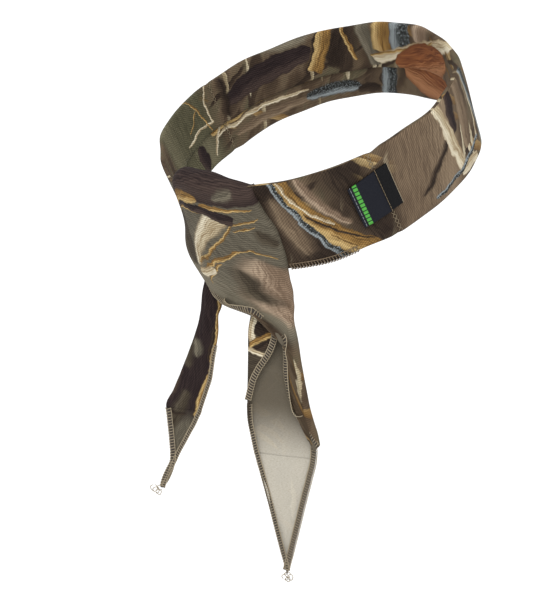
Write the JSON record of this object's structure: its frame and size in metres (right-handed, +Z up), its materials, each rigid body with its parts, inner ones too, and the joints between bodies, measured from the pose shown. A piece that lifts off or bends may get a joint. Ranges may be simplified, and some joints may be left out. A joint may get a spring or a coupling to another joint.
{
  "type": "tie headband",
  "caption": "Camouflage cloth headband folded from one strip, closed by a half knot with pointed serged tails and a small side label.",
  "frame": {"origin": "centre of the head opening, on the ring's axis at mid width of the band", "axes": "+Z up as it hangs, -Y towards the knot, +X to the side that carries the label; the ring is tilted 24.8 degrees about X, knot side low"},
  "size_m": [0.1999, 0.2141, 0.3378],
  "materials": {
    "printed_twill": "printed matte twill, right side",
    "hidden_twill": "printed matte twill inside the knot",
    "tail_twill": "matte twill, pale wrong side on the inner face",
    "dark_twill": "printed matte twill, dark part of the print",
    "towelling": "soft absorbent pad",
    "tan_thread": "spun polyester overlock thread",
    "navy_taffeta": "woven label taffeta",
    "black_taffeta": "woven label taffeta"
  },
  "bodies": {
    "band_and_knot": {"band_outer_panel": "printed_twill", "band_inner_upper_fold": "printed_twill", "band_inner_lower_fold": "printed_twill", "cooling_insert": "towelling", "right_row_needle_thread": "tan_thread", "right_row_looper_thread": "tan_thread", "left_row_needle_thread": "tan_thread", "left_row_looper_thread": "tan_thread", "band_edge_overlock": "tan_thread", "knot_front_wrap": "printed_twill", "knot_back_wrap": "printed_twill", "knot_right_crossing": "hidden_twill", "knot_left_crossing": "hidden_twill", "knot_edge_overlock": "tan_thread"},
    "label_flap": {"label_flap": "navy_taffeta"},
    "label_tab": {"label_tab": "black_taffeta"},
    "right_tail_upper": {"right_tail_upper": "printed_twill", "right_tail_right_flap_overlock": "tan_thread", "right_tail_left_flap_overlock": "tan_thread"},
    "right_tail_lower": {"right_tail_lower": "tail_twill", "right_point_left_overlock": "tan_thread", "right_point_right_overlock": "tan_thread", "right_tip_thread_chain": "tan_thread"},
    "left_tail_upper": {"left_tail_upper": "dark_twill"},
    "left_tail_lower": {"left_tail_lower": "dark_twill", "left_point_left_overlock": "tan_thread", "left_point_right_overlock": "tan_thread", "left_tip_thread_chain": "tan_thread"}
  },
  "joints": [
    {"name": "right_tail_swing", "type": "hinge", "parent": "band_and_knot", "child": "right_tail_upper", "pos_m": [0.04347, -0.07301, -0.08951], "axis": [-0.8192, -0.5736, 0], "range_deg": [-60, 80]},
    {"name": "right_tail_bend", "type": "hinge", "parent": "right_tail_upper", "child": "right_tail_lower", "pos_m": [0.05452, -0.06528, -0.1815], "axis": [-0.8192, -0.5736, 0], "range_deg": [-75, 75]},
    {"name": "left_tail_swing", "type": "hinge", "parent": "band_and_knot", "child": "left_tail_upper", "pos_m": [-0.00808, -0.07789, -0.0897], "axis": [-0.8192, -0.5736, 0], "range_deg": [-60, 80]},
    {"name": "left_tail_bend", "type": "hinge", "parent": "left_tail_upper", "child": "left_tail_lower", "pos_m": [-0.02398, -0.08902, -0.1685], "axis": [-0.8192, -0.5736, 0], "range_deg": [-75, 75]},
    {"name": "label_flap_lift", "type": "hinge", "parent": "band_and_knot", "child": "label_flap", "pos_m": [0.09355, -0.03358, -0.01221], "axis": [0, -0.4195, 0.9078], "range_deg": [0, 80], "stiffness_Nm_per_rad": 0.0005},
    {"name": "label_tab_lift", "type": "hinge", "parent": "band_and_knot", "child": "label_tab", "pos_m": [0.09478, -0.03049, -0.01078], "axis": [0, 0.4195, -0.9078], "range_deg": [0, 80], "stiffness_Nm_per_rad": 0.0005}
  ]
}
